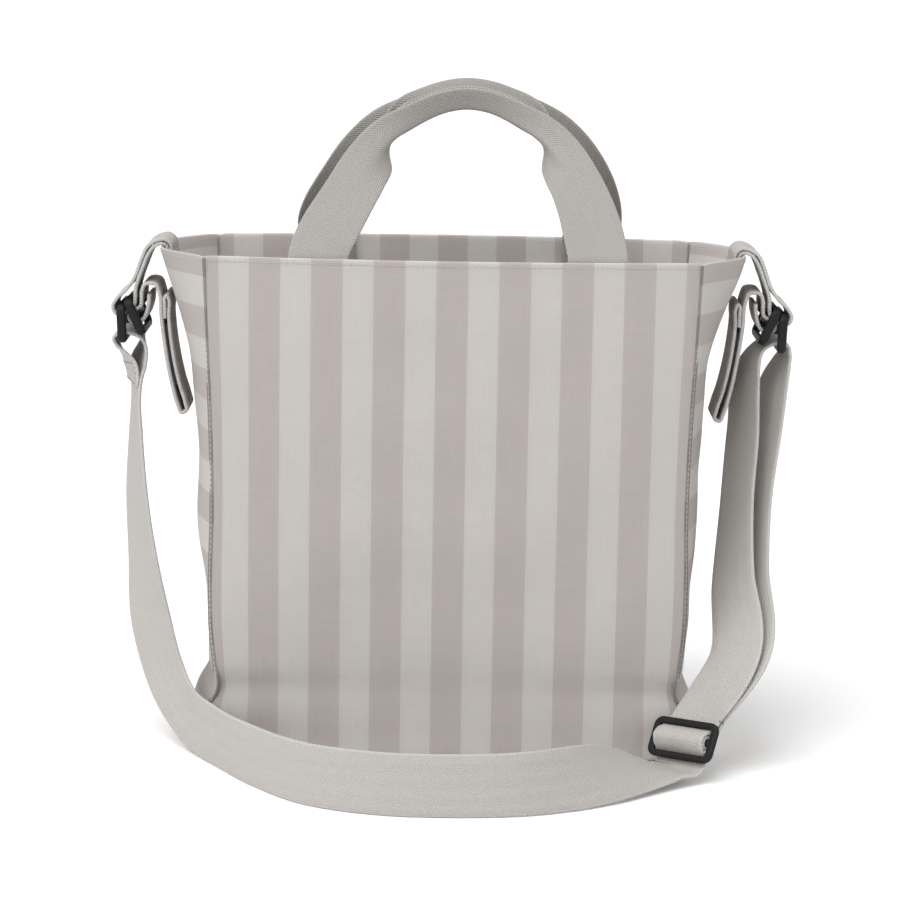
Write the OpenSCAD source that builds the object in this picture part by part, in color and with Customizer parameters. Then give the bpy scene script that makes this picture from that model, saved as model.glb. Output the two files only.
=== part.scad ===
// Striped canvas tote bag with two webbing handles, a shoulder strap and two pram straps.
// The front faces -Y and the bag stands on Z = 0. The origin is the middle of its base.

/* [Bag body] */
// Width of the front and back panels between their side seams
bag_w = 322; // [300:1:340]
// Depth of the gussets between their seams, at the base
bag_d = 136; // [124:1:144]
// Height from the floor to the rim
bag_h = 330; // [315:1:345]
// Thickness of the canvas
canvas_t = 1.2; // [1:0.1:1.4]
// How far the side tabs pull the middle of each gusset outwards at the rim
rim_flare = 31; // [28:1:34]
// How far the front and back panels crown outwards
panel_crown = 13; // [8:1:15]
// How far the side seams draw in at mid height
waist = 6; // [2:1:8]
// Depth of the hem that is turned in at the rim
hem_h = 20; // [16:1:24]

/* [Webbing] */
// Width of the webbing
web_w = 40; // [38:0.5:40]
// Thickness of the webbing
web_t = 2; // [1.6:0.1:2]
// Width of the handles where the webbing is folded lengthwise
grip_w = 20; // [18:1:22]

/* [Handles] */
// Distance between the middles of a handle's two ends
handle_span = 176; // [160:1:184]
// Height of the handles' tops above the rim
handle_rise = 98; // [90:1:105]
// Length of webbing sewn to the inside of the panel
handle_sewn = 45; // [35:1:50]

/* [Plastic hardware] */
// Outer width of the rings, along the webbing's width
ring_w = 52; // [51:0.5:54]
// Outer height of the rings
ring_h = 26; // [25.5:0.5:26.5]
// Thickness of the rings
ring_t = 4.5; // [4:0.5:4.5]
// Width of the bars that carry the webbing
bar_w = 4; // [3.6:0.1:4]
// Height of the slider on the shoulder strap
slider_h = 28; // [26:1:30]

/* [Hidden] */

light = [0.77, 0.76, 0.74];
taupe = [0.70, 0.66, 0.64];
webbing = [0.72, 0.70, 0.67];
black = [0.13, 0.13, 0.14];
gap = 0.3;
rim_x = bag_w / 2 + rim_flare;
flat_half = web_w / 2 + 2;
side_crown = 12;
flare_start = 0.45;
cols = 14;
rows = 14;

// ---- The bag's shape -------------------------------------------------

// Half width and half depth at the seams, at height z
function seam_x(z) = bag_w / 2 - waist * sin(180 * z / bag_h);
function seam_y(z) = bag_d / 2 - 1 * z / bag_h;
// Crown of the front and back panels, and of the gussets, at height z
function crown(z) = panel_crown * (0.25 + 0.75 * sin(90 * z / bag_h));
function flare(z) = side_crown * (0.25 + 0.75 * sin(90 * min(1, 2.5 * z / bag_h)))
    + (rim_flare - side_crown) * pow(max(0, (z / bag_h - flare_start) / (1 - flare_start)), 2);
// Share of a gusset's flare at depth y: flat where the side tab is sewn on
function share(y, z) =
    1 - pow(max(0, (abs(y) - flat_half) / (seam_y(z) - flat_half)), 1.5);
function front_at(x, z, inset = 0) =
    [x, -seam_y(z) - crown(z) * (1 - pow(x / seam_x(z), 2)) + inset, z];
function side_at(y, z, inset = 0) =
    [seam_x(z) + flare(z) * share(y, z) - inset, y, z];

// ---- Builders --------------------------------------------------------

// A closed sheet between two grids of points, each a list of rows
module sheet_solid(outer, inner) {
    n = len(outer) - 1;
    m = len(outer[0]) - 1;
    size = (n + 1) * (m + 1);
    points = concat([for (row = outer) each row], [for (row = inner) each row]);
    function at(i, j) = i * (m + 1) + j;
    faces = concat(
        [for (i = [0:n - 1], j = [0:m - 1]) each [
            [at(i, j), at(i + 1, j), at(i + 1, j + 1)],
            [at(i, j), at(i + 1, j + 1), at(i, j + 1)],
            [size + at(i, j), size + at(i + 1, j + 1), size + at(i + 1, j)],
            [size + at(i, j), size + at(i, j + 1), size + at(i + 1, j + 1)]]],
        [for (i = [0:n - 1]) each [
            [at(i, 0), size + at(i + 1, 0), at(i + 1, 0)],
            [at(i, 0), size + at(i, 0), size + at(i + 1, 0)],
            [at(i, m), at(i + 1, m), size + at(i + 1, m)],
            [at(i, m), size + at(i + 1, m), size + at(i, m)]]],
        [for (j = [0:m - 1]) each [
            [at(0, j), at(0, j + 1), size + at(0, j + 1)],
            [at(0, j), size + at(0, j + 1), size + at(0, j)],
            [at(n, j), size + at(n, j + 1), at(n, j + 1)],
            [at(n, j), size + at(n, j), size + at(n, j + 1)]]]);
    polyhedron(points, faces);
}

function unit(v) = v / norm(v);
function clamp(i, n) = min(max(i, 0), n);

// Smooth curve through the stations, with n steps between each two
function smooth(list, n) = let (last = len(list) - 1) concat(
    [for (i = [0:last - 1], k = [0:n - 1]) let (
        t = k / n,
        a = list[clamp(i - 1, last)], b = list[i],
        c = list[i + 1], d = list[clamp(i + 2, last)])
        0.5 * (2 * b + (c - a) * t + (2 * a - 5 * b + 4 * c - d) * t * t
            + (3 * b - a - 3 * c + d) * t * t * t)],
    [list[last]]);

// A band of webbing. A station is [x, y, z, across x, y, z, width, thickness].
module band(stations) {
    last = len(stations) - 1;
    function place(s) = [s[0], s[1], s[2]];
    function heading(i) =
        unit(place(stations[clamp(i + 1, last)]) - place(stations[clamp(i - 1, last)]));
    function side(i) = let (s = stations[i], h = heading(i), a = [s[3], s[4], s[5]])
        unit(a - h * (a * h));
    function corner(i, u, v) = place(stations[i]) + side(i) * stations[i][6] * u / 2
        + cross(heading(i), side(i)) * stations[i][7] * v / 2;
    function row(v) = [for (i = [0:last]) [for (u = [-1, 1]) corner(i, u, v)]];
    sheet_solid(row(1), row(-1));
}

// A band of full width whose centre line is a list of [x, z], at depth y = 0
module flat_band(profile, steps = 3, width = web_w) {
    band([for (p = smooth(profile, steps)) [p[0], 0, p[1], 0, 1, 0, width, web_t]]);
}

// Profiles beside the bag are measured from the gusset's rim
function beside(profile) = [for (p = profile) [rim_x + p[0], bag_h + p[1]]];

module rounded_bar(w, h, r) {
    square([w - 2 * r, h], center = true);
    square([w, h - 2 * r], center = true);
    for (x = [-1, 1], y = [-1, 1])
        translate([x * (w / 2 - r), y * (h / 2 - r)]) circle(r, $fn = 32);
}

// ---- Canvas panels ---------------------------------------------------

module front_wall(z0, z1, inset, n) {
    function grid(t) = [for (i = [0:cols]) [for (j = [0:n])
        let (z = z0 + (z1 - z0) * j / n, half = seam_x(z) - inset - 2 * gap)
        front_at(half * (2 * i / cols - 1), z, inset + t)]];
    sheet_solid(grid(0), grid(canvas_t));
}

module side_wall(z0, z1, inset, n) {
    function grid(t) = [for (i = [0:cols]) [for (j = [0:n])
        let (z = z0 + (z1 - z0) * j / n, half = seam_y(z) - inset - canvas_t - 2 * gap)
        side_at(half * (2 * i / cols - 1), z, inset + t)]];
    sheet_solid(grid(0), grid(canvas_t));
}

module front_panel() { color(light) front_wall(canvas_t, bag_h, 0, rows); }
module back_panel() { color(light) mirror([0, 1, 0]) front_wall(canvas_t, bag_h, 0, rows); }
module right_gusset() { color(taupe) side_wall(canvas_t, bag_h, 0, rows); }
module left_gusset() { color(taupe) mirror([1, 0, 0]) side_wall(canvas_t, bag_h, 0, rows); }

module front_hem() {
    color(taupe) front_wall(bag_h - hem_h, bag_h - gap, canvas_t + gap, 2);
}
module back_hem() { mirror([0, 1, 0]) front_hem(); }
module right_hem() {
    color(taupe) side_wall(bag_h - hem_h, bag_h - gap, canvas_t + gap, 4);
}
module left_hem() { mirror([1, 0, 0]) right_hem(); }

module base_panel() {
    corner_r = 6;
    color(taupe) linear_extrude(canvas_t)
        rounded_bar(bag_w + 6, bag_d + 7, corner_r);
}

// Tape that binds the raw edges of a side seam, inside the bag
module seam_binding() {
    binding_w = 9;
    binding_t = 2.4;
    start = 6;
    length = bag_h - hem_h - 4 - start;
    color(webbing) band([for (k = [0:8]) let (z = start + length * k / 8,
        inset = 3.5 + binding_w / 2)
        [seam_x(z) - inset, -seam_y(z) + inset, z, 1, -1, 0, binding_w, binding_t]]);
}
module seam_binding_front_right() { seam_binding(); }
module seam_binding_front_left() { mirror([1, 0, 0]) seam_binding(); }
module seam_binding_back_right() { mirror([0, 1, 0]) seam_binding(); }
module seam_binding_back_left() { mirror([1, 0, 0]) mirror([0, 1, 0]) seam_binding(); }

// ---- Handles ---------------------------------------------------------

handle_x = handle_span / 2;
handle_inset = 2 * canvas_t + 2.5 * gap + web_t / 2;
handle_base = front_at(handle_x, bag_h, handle_inset);
handle_top_y = -grip_w / 4 - 5;

// The end of a handle, sewn inside the front panel
module handle_end() {
    slope = [1, 2 * crown(bag_h) * handle_x / pow(seam_x(bag_h), 2), 0];
    band([for (z = [bag_h - handle_sewn, bag_h - handle_sewn / 2, bag_h - 1])
        let (p = front_at(handle_x, z, handle_inset))
        [p[0], p[1], z, slope[0], slope[1], 0, web_w, web_t]]);
}

module front_handle_ends() {
    color(webbing) for (side = [0, 1]) mirror([side, 0, 0]) handle_end();
}
module back_handle_ends() { mirror([0, 1, 0]) front_handle_ends(); }

// Half of a handle's outline: share of its half span, share of its rise, width, thickness
handle_shape = [
    [1, 0.006, web_w, web_t],
    [0.99, 0.2, web_w, web_t],
    [0.89, 0.42, web_w - 4, web_t + 0.4],
    [0.71, 0.66, web_w - 14, web_t + 1.6],
    [0.5, 0.84, grip_w, 2 * web_t],
    [0.26, 0.96, grip_w, 2 * web_t],
    [0, 1, grip_w, 2 * web_t]];

module front_handle() {
    lean = unit([0, handle_top_y - handle_base[1], handle_rise]);
    full = concat([for (h = handle_shape) [-h[0], h[1], h[2], h[3]]],
        [for (i = [1:len(handle_shape) - 1]) handle_shape[len(handle_shape) - 1 - i]]);
    function at(h) = [h[0] * handle_x, handle_base[1], bag_h]
        + lean * h[1] * handle_rise / lean[2];
    places = [for (h = full) let (p = at(h)) [p[0], p[1], p[2], h[2], h[3]]];
    curve = smooth(places, 4);
    last = len(curve) - 1;
    face = cross([1, 0, 0], lean);
    color(webbing) band([for (i = [0:last]) let (c = curve[i],
        run = curve[clamp(i + 1, last)] - curve[clamp(i - 1, last)],
        across = cross(face, unit([run[0], run[1], run[2]])))
        [c[0], c[1], c[2], across[0], across[1], across[2], c[3], c[4]]]);
}
module back_handle() { mirror([0, 1, 0]) front_handle(); }

// ---- Side tabs -------------------------------------------------------

// Each tab is one length of webbing, folded round the top bars of the two
// plastic pieces. Its root lies over the rim and inside the gusset. Root and
// tab meet in two cuts, each square to the webbing's direction there, and far
// enough apart for the tab to turn about the rim.
outer_cut = [4.8, 2.7];
outer_dir = unit([0.94, -0.34]);
inner_cut = [4.8, -0.6];
inner_dir = unit([0.87, -0.5]);
cut_gap = 1.2;

// Where a layer of the root lies inside the gusset, at depth z below the rim
function root_at(z, layer) = [side_at(0, bag_h + z, handle_inset)[0] - rim_x
    - layer * (web_t + gap), z];
function root_inside(layer) = [for (z = [-4, -10, -20, -30]) root_at(z, layer)];

tab_root_outer = concat([outer_cut, outer_cut - outer_dir * 4], [[-2.8, 4.6],
    [-6.2, 2.4]], root_inside(1));
tab_root_inner = concat([inner_cut, inner_cut - inner_dir * 3], [[-0.4, 1.8],
    [-3.6, 1.1]], root_inside(0));
tab_loop = concat([outer_cut + outer_dir * cut_gap, outer_cut + outer_dir * 4.5],
    [[11.6, -6], [13.8, -12], [17, -21], [22.5, -28.5], [29, -35], [31.2, -40], [29.5, -44],
    [25.5, -44.5], [22, -42.4], [19.7, -40.7], [16.6, -38.4], [15.6, -34], [14.8, -28],
    [12.5, -20], [10, -12.5]],
    [inner_cut + inner_dir * 4, inner_cut + inner_dir * cut_gap]);

module right_tab_root() {
    color(webbing) {
        flat_band(beside(tab_root_outer), 2);
        flat_band(beside(tab_root_inner), 2);
    }
}
module left_tab_root() { mirror([1, 0, 0]) right_tab_root(); }
module right_tab() { color(webbing) flat_band(beside(tab_loop), 2); }
module left_tab() { mirror([1, 0, 0]) right_tab(); }

// ---- Plastic rings and buckles ---------------------------------------

side_bar = 5;
ring_top = [25.5, -39.5];
ring_tilt = 2.5;
buckle_top = [21, -36];
buckle_tilt = 25;

// A ring that hangs along -Z from the middle of its top bar, in the YZ plane
module hanging_ring(middle_bar) {
    slot_w = ring_w - 2 * side_bar;
    translate([0, 0, (bar_w - ring_h) / 2]) rotate([90, 0, 90])
        linear_extrude(ring_t, center = true) {
            difference() {
                rounded_bar(ring_w, ring_h, 3);
                square([slot_w, ring_h - 2 * bar_w], center = true);
            }
            if (middle_bar)
                square([slot_w + 1, bar_w], center = true);
        }
}

module beside_rim(place, tilt) {
    translate([rim_x + place[0], 0, bag_h + place[1]]) rotate([0, tilt, 0]) children();
}

module right_strap_ring() {
    color(black) beside_rim(ring_top, ring_tilt) hanging_ring(false);
}
module left_strap_ring() { mirror([1, 0, 0]) right_strap_ring(); }
module right_pram_buckle() {
    color(black) beside_rim(buckle_top, buckle_tilt) hanging_ring(true);
}
module left_pram_buckle() { mirror([1, 0, 0]) right_pram_buckle(); }

// ---- Pram straps -----------------------------------------------------

// The sewn end goes round the buckle's middle bar. From there the strap arches
// over towards the bag, hangs, turns at the bottom and comes back up.
// Its inner layer stops where it clears the rim when the strap is lifted.
pram_split_x = 6.5;
pram_end_path = [[7.4, -31.5], [7.6, -37], [8.9, -43], [10.8, -47.4], [13, -49.4],
    [16.6, -50.5], [20, -48.4], [20, -43.8], [16.5, -41.7], [13, -39.2], [12.4, -35],
    [12.2, -29.5], [10, -24.8], [pram_split_x + 2 * gap, -24]];
pram_path = [[pram_split_x, -24], [3, -24.8], [0.6, -30],
    [-0.6, -45], [-3, -65], [-8, -92], [-11.3, -104], [-14.3, -109.8], [-17.4, -108.6],
    [-17.3, -104], [-13.6, -92], [-8.6, -65], [-8, -61]];
tape_t = 1;

module right_pram_end() { color(webbing) flat_band(beside(pram_end_path), 3); }
module left_pram_end() { mirror([1, 0, 0]) right_pram_end(); }
module right_pram_strap() { color(webbing) flat_band(beside(pram_path), 3); }
module left_pram_strap() { mirror([1, 0, 0]) right_pram_strap(); }

// Hook tape and loop tape between the two layers of a pram strap. Their
// profiles run at a share of the distance from the outer to the inner layer.
module tape(share) {
    outer = [[-1.3, -51], [-3.2, -66], [-8, -91]];
    inner = [[-6.9, -51], [-8.9, -66], [-13.6, -91]];
    profile = smooth(beside([for (i = [0:2]) outer[i] + (inner[i] - outer[i]) * share]), 3);
    color(black) band([for (p = profile) [p[0], 0, p[1], 0, 1, 0, web_w - 4, tape_t]]);
}
module right_hook_tape() { tape(0.37); }
module left_hook_tape() { mirror([1, 0, 0]) right_hook_tape(); }
module right_loop_tape() { tape(0.63); }
module left_loop_tape() { mirror([1, 0, 0]) right_loop_tape(); }

// ---- Shoulder strap --------------------------------------------------

// Where the webbing turns round the rings' bottom bars
left_loop_path = [[14.8, -83], [11, -76], [9, -69], [11, -64.5], [14.5, -61.5], [19, -59],
    [24.5, -57.4], [29.5, -58.8], [31, -63.5], [28.5, -70], [22.5, -77.5], [18.6, -84]];
right_loop_path = [[5, -84], [6.4, -75], [9.5, -67.5], [14, -62], [19, -59.2],
    [24.5, -57.4], [29.5, -58.8], [31, -63.5], [29.5, -71], [25, -84]];

module left_strap_loop() {
    mirror([1, 0, 0]) color(webbing) flat_band(beside(left_loop_path), 2);
}
module right_strap_loop() { color(webbing) flat_band(beside(right_loop_path), 2); }

half_w = web_w / 2;
hang_z = bag_h - 84;
left_x = -rim_x - 14.8;

// The slider's middle, its long direction, its way up the strap and its face
slider_at = [154, -99, 24.5];
slider_along = unit([0.72, -0.66, 0]);
slider_up = unit([0.32, 0.35, 0.88]);
slider_face = unit(cross(slider_along, slider_up));
function near_slider(up, out) = slider_at + slider_up * up + slider_face * out;
function station(p, across) = [p[0], p[1], p[2], across[0], across[1], across[2], web_w, web_t];

run_start = [
    station([left_x, 0, hang_z - 1], [0, -1, 0]),
    station([left_x, -1, 215], [0.08, -1, 0]),
    station([left_x, -4, 170], [0.36, -0.93, 0]),
    station([-204, -9, 122], [0.52, -0.85, 0]),
    station([-197, -17, 78], [0.72, -0.68, 0.1]),
    station([-188, -30, 46], [0.62, -0.6, 0.5]),
    station([-172, -56, 26], [0.3, -0.35, 0.9]),
    station([-150, -92, half_w], [0, 0, 1]),
    station([-122, -137, half_w], [0, 0, 1]),
    station([-86, -176, half_w], [0, 0, 1]),
    station([-42, -194, half_w], [0, 0, 1]),
    station([8, -197, half_w], [0, 0, 1]),
    station([52, -190, half_w], [0, 0, 1]),
    station([84, -172, half_w], [0, 0, 1]),
    station([106, -152, 19.8], [-0.2, 0.16, 0.95]),
    station([124, -130, 14.6], [-0.56, 0.43, 0.62]),
    station([137, -117, 7], [-0.76, 0.62, 0.14]),
    station(near_slider(-17, -4.8) - [1.3, 1.3, 0], -slider_along)];

front_rise_path = [
    station(near_slider(17.5, -7.8), -slider_along),
    station([188, -73, 74], [-0.7, 0.7, 0]),
    station([187, -38, 118], [-0.58, 0.8, 0]),
    station([190, -16, 168], [-0.38, 0.92, 0]),
    station([195, -3, 215], [-0.15, 0.98, 0]),
    station([rim_x + 4, 0, hang_z - 12], [0, 1, 0]),
    station([rim_x + 5, 0, hang_z - 3 * gap], [0, 1, 0])];
rear_rise_path = [
    station(near_slider(17.5, -11.2), -slider_along),
    station([195, -71, 74], [-0.68, 0.72, 0]),
    station([198, -33, 118], [-0.54, 0.83, 0]),
    station([206, -11, 168], [-0.33, 0.94, 0]),
    station([214, -1, 215], [-0.12, 0.99, 0]),
    station([rim_x + 24, 0, hang_z - 12], [0, 1, 0]),
    station([rim_x + 25, 0, hang_z - 2 * gap], [0, 1, 0])];

module strap_run() { color(webbing) band(smooth(run_start, 3)); }
module front_rise() { color(webbing) band(smooth(front_rise_path, 4)); }
module rear_rise() { color(webbing) band(smooth(rear_rise_path, 4)); }

// A band threaded through the slider: its profile is a list of [up, out]
module slider_band(profile) {
    color(webbing) band([for (p = smooth(profile, 3))
        station(near_slider(p[0], p[1]), -slider_along)]);
}

// The strap where it passes over the slider's middle bar
module slider_pass() {
    slider_band([[-16.5, -4.8], [-12.5, -4.3], [-8, -1.4], [-4.6, 3.7],
        [0, 6.3], [4.6, 3.7], [8, -1.4], [12.5, -4.3], [16.5, -4.8]]);
}

// The strap's sewn end, round the slider's middle bar
module slider_fold() {
    slider_band([[1.6, -6.2], [3.3, -2.8], [3.7, 0.6], [2.6, 2.8], [0, 3.8], [-2.6, 2.8],
        [-3.7, 0.6], [-3.3, -2.8], [-1.6, -6.2]]);
}

module slider() {
    slider_w = 50;
    plate_t = 3.5;
    window_h = (slider_h - 3 * bar_w) / 2;
    turn = [[slider_along[0], slider_up[0], slider_face[0], slider_at[0]],
        [slider_along[1], slider_up[1], slider_face[1], slider_at[1]],
        [slider_along[2], slider_up[2], slider_face[2], slider_at[2]],
        [0, 0, 0, 1]];
    color(black) multmatrix(turn) linear_extrude(plate_t, center = true) difference() {
        rounded_bar(slider_w, slider_h, 4);
        for (side = [-1, 1])
            translate([0, side * (bar_w + window_h) / 2])
                square([web_w + 2, window_h], center = true);
    }
}

front_panel();
back_panel();
left_gusset();
right_gusset();
base_panel();
front_hem();
back_hem();
left_hem();
right_hem();
seam_binding_front_left();
seam_binding_front_right();
seam_binding_back_left();
seam_binding_back_right();
front_handle_ends();
back_handle_ends();
front_handle();
back_handle();
left_tab_root();
right_tab_root();
left_tab();
right_tab();
left_strap_ring();
right_strap_ring();
left_pram_buckle();
right_pram_buckle();
left_pram_end();
right_pram_end();
left_pram_strap();
right_pram_strap();
left_hook_tape();
right_hook_tape();
left_loop_tape();
right_loop_tape();
left_strap_loop();
right_strap_loop();
strap_run();
front_rise();
rear_rise();
slider_pass();
slider_fold();
slider();
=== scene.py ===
"""Looks for the striped canvas tote bag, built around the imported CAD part.

Shapes are worked out in millimetres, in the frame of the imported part, and scaled to metres as
they are made.
"""

import math

import bmesh
import bpy
import numpy as np
from mathutils import Matrix, Vector


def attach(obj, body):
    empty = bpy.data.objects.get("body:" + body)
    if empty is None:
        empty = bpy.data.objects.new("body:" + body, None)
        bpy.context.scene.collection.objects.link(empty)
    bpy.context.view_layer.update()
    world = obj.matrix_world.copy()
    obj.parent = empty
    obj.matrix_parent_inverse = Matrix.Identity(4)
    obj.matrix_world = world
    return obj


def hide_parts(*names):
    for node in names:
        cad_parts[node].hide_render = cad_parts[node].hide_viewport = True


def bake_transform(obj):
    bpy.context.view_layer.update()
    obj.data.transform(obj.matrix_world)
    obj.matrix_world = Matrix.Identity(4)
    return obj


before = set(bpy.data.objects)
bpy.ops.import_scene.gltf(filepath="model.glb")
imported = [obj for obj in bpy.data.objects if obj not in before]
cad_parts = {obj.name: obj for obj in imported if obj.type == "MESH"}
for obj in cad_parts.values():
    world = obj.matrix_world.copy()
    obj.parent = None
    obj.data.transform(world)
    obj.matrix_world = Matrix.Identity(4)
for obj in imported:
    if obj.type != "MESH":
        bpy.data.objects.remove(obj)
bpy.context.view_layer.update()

MM = 0.001
rng = np.random.default_rng(7)  # every random draw comes from here, in the order of the script

# ---- Sizes -----------------------------------------------------------------

HEIGHT = 330.0  # floor to rim
HALF_W = 161.0  # half of a flat front panel
HALF_D = 68.0  # half of a flat gusset
RIM_X = 192.0  # middle of a gusset's rim, where the side tab pulls it out
CROWN = 13.0  # how far the middle of a panel stands out from its seams
CANVAS = 1.2  # thickness of the canvas
GAP = 0.3  # air between two layers
HEM = 20.0  # depth of the turned-in hem
STRIPE = 20.0  # width of a stripe
WEB_W = 40.0  # width of the webbing
WEB_T = 2.0  # thickness of the webbing
THICK = 2.4  # webbing where its edge shows, a little fuller
FOLD_HALF = 1.9  # half of the width of webbing that turns round a lengthwise fold
FOOT = 7.0  # radius with which the walls turn in to the base
FOOT_RUN = FOOT * math.pi / 2
HANDLE_X = 88.0  # about how far a handle's ends are from the middle of the panel
HANDLE_INSET = 2 * CANVAS + 2.5 * GAP + WEB_T / 2
SEAM_DIP, SEAM_DIP_REACH = 2.0, 1.7  # how deep and how wide the cloth dips into a seam
RIM_DIP, RIM_DIP_REACH = 1.5, 2.5  # the same for the corners of the rim
PITCH = 3.3  # from one stitch to the next
LIFT = 0.05  # by which a stitch stands off its cloth
STITCH_Z = HEIGHT - 2.6  # height of the rim's topstitching
ROW = 17.0  # rows of stitches near the edges of webbing, from its middle
BOX_ROW = 16.5  # the same for the boxes that hold the handles


# ---- Curves ----------------------------------------------------------------


def unit(v):
    """A vector, or each vector of an array, at length 1."""
    v = np.asarray(v, float)
    return v / np.linalg.norm(v, axis=-1, keepdims=True)


def hermite(knots, values, at):
    """Smooth curve through values at uneven knots, for each column of values."""
    knots, values, at = (np.asarray(a, float) for a in (knots, values, at))
    gaps = np.diff(knots)
    slopes = np.diff(values, axis=0) / gaps.reshape((-1,) + (1,) * (values.ndim - 1))
    tangents = np.empty_like(values)
    tangents[0], tangents[-1] = slopes[0], slopes[-1]
    for i in range(1, len(knots) - 1):
        a, b = gaps[i - 1], gaps[i]
        tangents[i] = (slopes[i - 1] * b + slopes[i] * a) / (a + b)
    k = np.clip(np.searchsorted(knots, at, side="right") - 1, 0, len(gaps) - 1)
    h = gaps[k]
    t = (at - knots[k]) / h
    if values.ndim > 1:
        h, t = h[..., None], t[..., None]
    return (
        (2 * t**3 - 3 * t**2 + 1) * values[k]
        + (t**3 - 2 * t**2 + t) * h * tangents[k]
        + (3 * t**2 - 2 * t**3) * values[k + 1]
        + (t**3 - t**2) * h * tangents[k + 1]
    )


def profile(pairs):
    """A smooth function of one number through (number, value) pairs."""
    pairs = np.array(sorted(pairs), float)
    return lambda at: hermite(pairs[:, 0], pairs[:, 1], np.clip(at, pairs[0, 0], pairs[-1, 0]))


def ramp(t):
    """Eases from 0 to 1 as t does."""
    t = np.clip(t, 0, 1)
    return t * t * (3 - 2 * t)


# ---- Meshes ----------------------------------------------------------------


def piece(name, points, faces, cloth, material):
    """A smooth mesh from points in mm. cloth is each point's place on the flat fabric, in mm."""
    mesh = bpy.data.meshes.new(name)
    mesh.from_pydata((np.asarray(points) * MM).tolist(), [], [tuple(map(int, f)) for f in faces])
    mesh.polygons.foreach_set("use_smooth", np.ones(len(mesh.polygons), bool))
    layer = mesh.uv_layers.new(name="Cloth")
    corner = np.empty(len(mesh.loops), np.int32)
    mesh.loops.foreach_get("vertex_index", corner)
    layer.data.foreach_set("uv", (np.asarray(cloth)[corner] * MM).astype(np.float32).ravel())
    mesh.materials.append(material)
    mesh.validate()
    solid = bmesh.new()
    solid.from_mesh(mesh)
    if len(faces) > 1:
        bmesh.ops.recalc_face_normals(solid, faces=solid.faces)
    solid.to_mesh(mesh)
    solid.free()
    thing = bpy.data.objects.new(name, mesh)
    bpy.context.scene.collection.objects.link(thing)
    return thing


def sheet_mesh(name, middle, cloth, thickness, material, outward):
    """A closed sheet of that thickness round a grid of middle points."""
    down, along = np.gradient(middle, axis=0), np.gradient(middle, axis=1)
    normal = unit(np.cross(down, along))
    if np.sum(normal.mean(axis=(0, 1)) * outward) < 0:
        normal = -normal
    n, m = middle.shape[:2]
    size = n * m
    index = np.arange(size).reshape(n, m)
    corners = [index[:-1, :-1], index[1:, :-1], index[1:, 1:], index[:-1, 1:]]
    quad = np.stack(corners, -1).reshape(-1, 4)
    flipped = np.sum(np.cross(down, along) * normal) < 0
    front = quad[:, ::-1] if flipped else quad
    back = quad + size if flipped else quad[:, ::-1] + size
    ring = np.concatenate([index[0, :], index[1:, -1], index[-1, -2::-1], index[-2:0:-1, 0]])
    after = np.roll(ring, -1)
    edge = np.stack([ring, after, after + size, ring + size], -1)
    if flipped:
        edge = edge[:, ::-1]
    half = normal * thickness / 2
    points = np.concatenate([(middle + half).reshape(-1, 3), (middle - half).reshape(-1, 3)])
    faces = np.concatenate([front, back, edge[:, ::-1]])
    flat = cloth.reshape(-1, 2)
    return piece(name, points, faces, np.concatenate([flat, flat]), material)


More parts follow.
